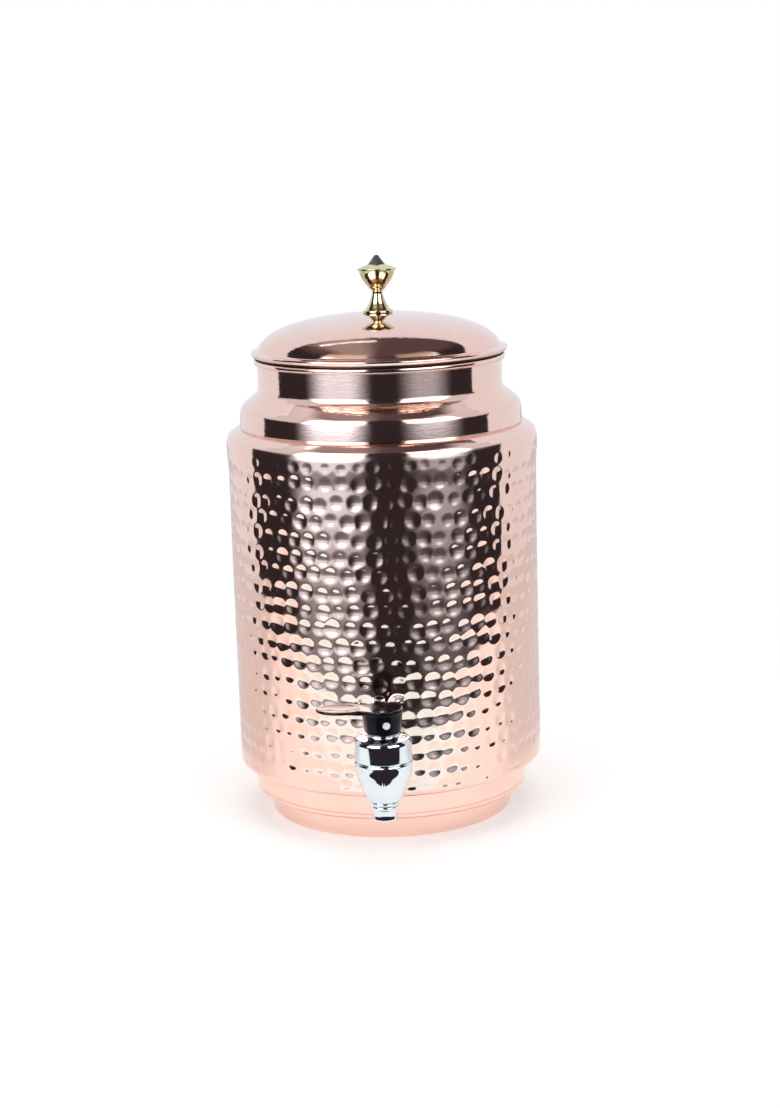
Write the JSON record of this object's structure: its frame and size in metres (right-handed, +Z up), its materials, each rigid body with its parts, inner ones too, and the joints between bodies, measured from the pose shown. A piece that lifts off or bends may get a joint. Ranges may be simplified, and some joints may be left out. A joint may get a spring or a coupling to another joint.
{
  "type": "water dispenser",
  "caption": "Hammered copper water tank on a stepped base, with a lift-off domed lid, a turned brass knob and a chrome tap opened by pressing a black lever.",
  "frame": {"origin": "centre of the ring that the dispenser stands on, at table height", "axes": "+Z up along the tank's axis, tap on the -Y side, lever pointing to -X at rest"},
  "size_m": [0.1864, 0.2362, 0.3371],
  "materials": {
    "hammered_copper": "hammered and polished copper sheet",
    "polished_copper": "polished copper sheet",
    "polished_brass": "turned and polished brass",
    "chrome_plate": "bright chrome plating",
    "stainless_steel": "bright stainless steel",
    "black_plastic": "glossy black plastic",
    "soft_silicone": "translucent white silicone"
  },
  "bodies": {
    "tank": {"tank_base": "polished_copper", "tank_wall": "hammered_copper", "tank_neck": "polished_copper", "tap_body": "chrome_plate", "tap_cap": "chrome_plate", "cap_seal": "soft_silicone", "stem_seal": "soft_silicone", "thrust_washer": "stainless_steel", "outer_washer": "soft_silicone", "inner_washer": "soft_silicone", "lock_nut": "chrome_plate", "valve_spring": "stainless_steel"},
    "lid": {"lid_dome": "polished_copper", "lid_skirt": "polished_copper", "lid_knob": "polished_brass", "knob_washer": "stainless_steel", "knob_nut": "polished_brass"},
    "plug": {"valve_plug": "soft_silicone"},
    "stem": {"valve_stem": "stainless_steel"},
    "lever": {"lever": "black_plastic", "lever_pin": "stainless_steel"}
  },
  "joints": [
    {"name": "lid_lift", "type": "slide", "parent": "tank", "child": "lid", "axis": [0, 0, 1], "range_m": [0, 0.15]},
    {"name": "stem_lift", "type": "slide", "parent": "tank", "child": "plug", "axis": [0, 0, 1], "range_m": [0, 0.0035], "stiffness_N_per_m": 60, "springref_m": -0.002, "deforming": ["valve_spring"]},
    {"name": "lever_swivel", "type": "hinge", "parent": "plug", "child": "stem", "pos_m": [0, -0.1265, 0.0868], "axis": [0, 0, 1], "range_deg": [-50, 230]},
    {"name": "lever_tilt", "type": "hinge", "parent": "stem", "child": "lever", "pos_m": [0.0025, -0.1265, 0.0868], "axis": [0, -1, 0], "range_deg": [0, 25.1]}
  ],
  "couplings": [
    {"joint": "lever_tilt", "follows": "stem_lift", "rad_per_m": 125}
  ]
}
